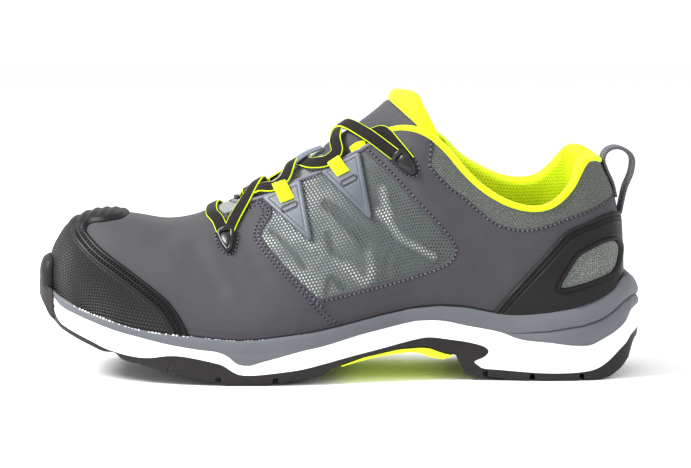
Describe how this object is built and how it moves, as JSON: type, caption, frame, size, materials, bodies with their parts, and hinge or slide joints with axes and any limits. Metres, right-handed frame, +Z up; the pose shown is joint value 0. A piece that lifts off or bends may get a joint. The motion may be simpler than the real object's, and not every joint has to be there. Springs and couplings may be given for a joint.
{
  "type": "low-cut safety shoe",
  "caption": "Low-cut left safety shoe: hollow upper with toe cap, heel counter, tongue and lacing on a layered sole with a raised arch and lugged tread.",
  "frame": {"origin": "on the ground, at the middle of the shoe's bounding box in plan", "axes": "+Z up, toe towards -Y, heel towards +Y, outer (lateral) side of the left foot towards +X"},
  "size_m": [0.108, 0.3, 0.1395],
  "materials": {
    "outsole_rubber": "matt black rubber, fine grain",
    "midsole_foam": "matt white moulded foam",
    "carrier_foam": "matt grey moulded foam",
    "arch_yellow": "satin neon yellow",
    "insole_fabric": "woven top cloth on foam",
    "upper_leather": "matt grey nubuck",
    "lining_yellow": "padded neon mesh lining",
    "overlay_black": "matt black coated overlay",
    "lace_plate": "satin moulded plastic",
    "ring_black": "glossy black",
    "webbing_grey": "ribbed webbing",
    "webbing_yellow": "ribbed webbing",
    "lace_black": "flat woven lace with yellow edges"
  },
  "bodies": {
    "root": {"outsole": "outsole_rubber", "midsole": "midsole_foam", "midsole_carrier": "carrier_foam", "arch_plate": "arch_yellow", "insole": "insole_fabric", "upper": "upper_leather", "tongue": "upper_leather", "collar_lining": "lining_yellow", "toe_cap": "overlay_black", "heel_counter": "overlay_black", "pull_loop": "webbing_grey", "lace_bar": "lace_black", "lace_cross_1": "lace_black", "lace_cross_2": "lace_black", "lace_cross_3": "lace_black", "lace_plate_outer_1": "lace_plate", "lace_loop_outer_1": "webbing_yellow", "lace_ring_outer_1": "ring_black", "lace_plate_outer_2": "lace_plate", "lace_loop_outer_2": "webbing_yellow", "lace_ring_outer_2": "ring_black", "lace_plate_inner_1": "lace_plate", "lace_loop_inner_1": "webbing_yellow", "lace_ring_inner_1": "ring_black", "lace_plate_inner_2": "lace_plate", "lace_loop_inner_2": "webbing_yellow", "lace_ring_inner_2": "ring_black"}
  },
  "joints": []
}
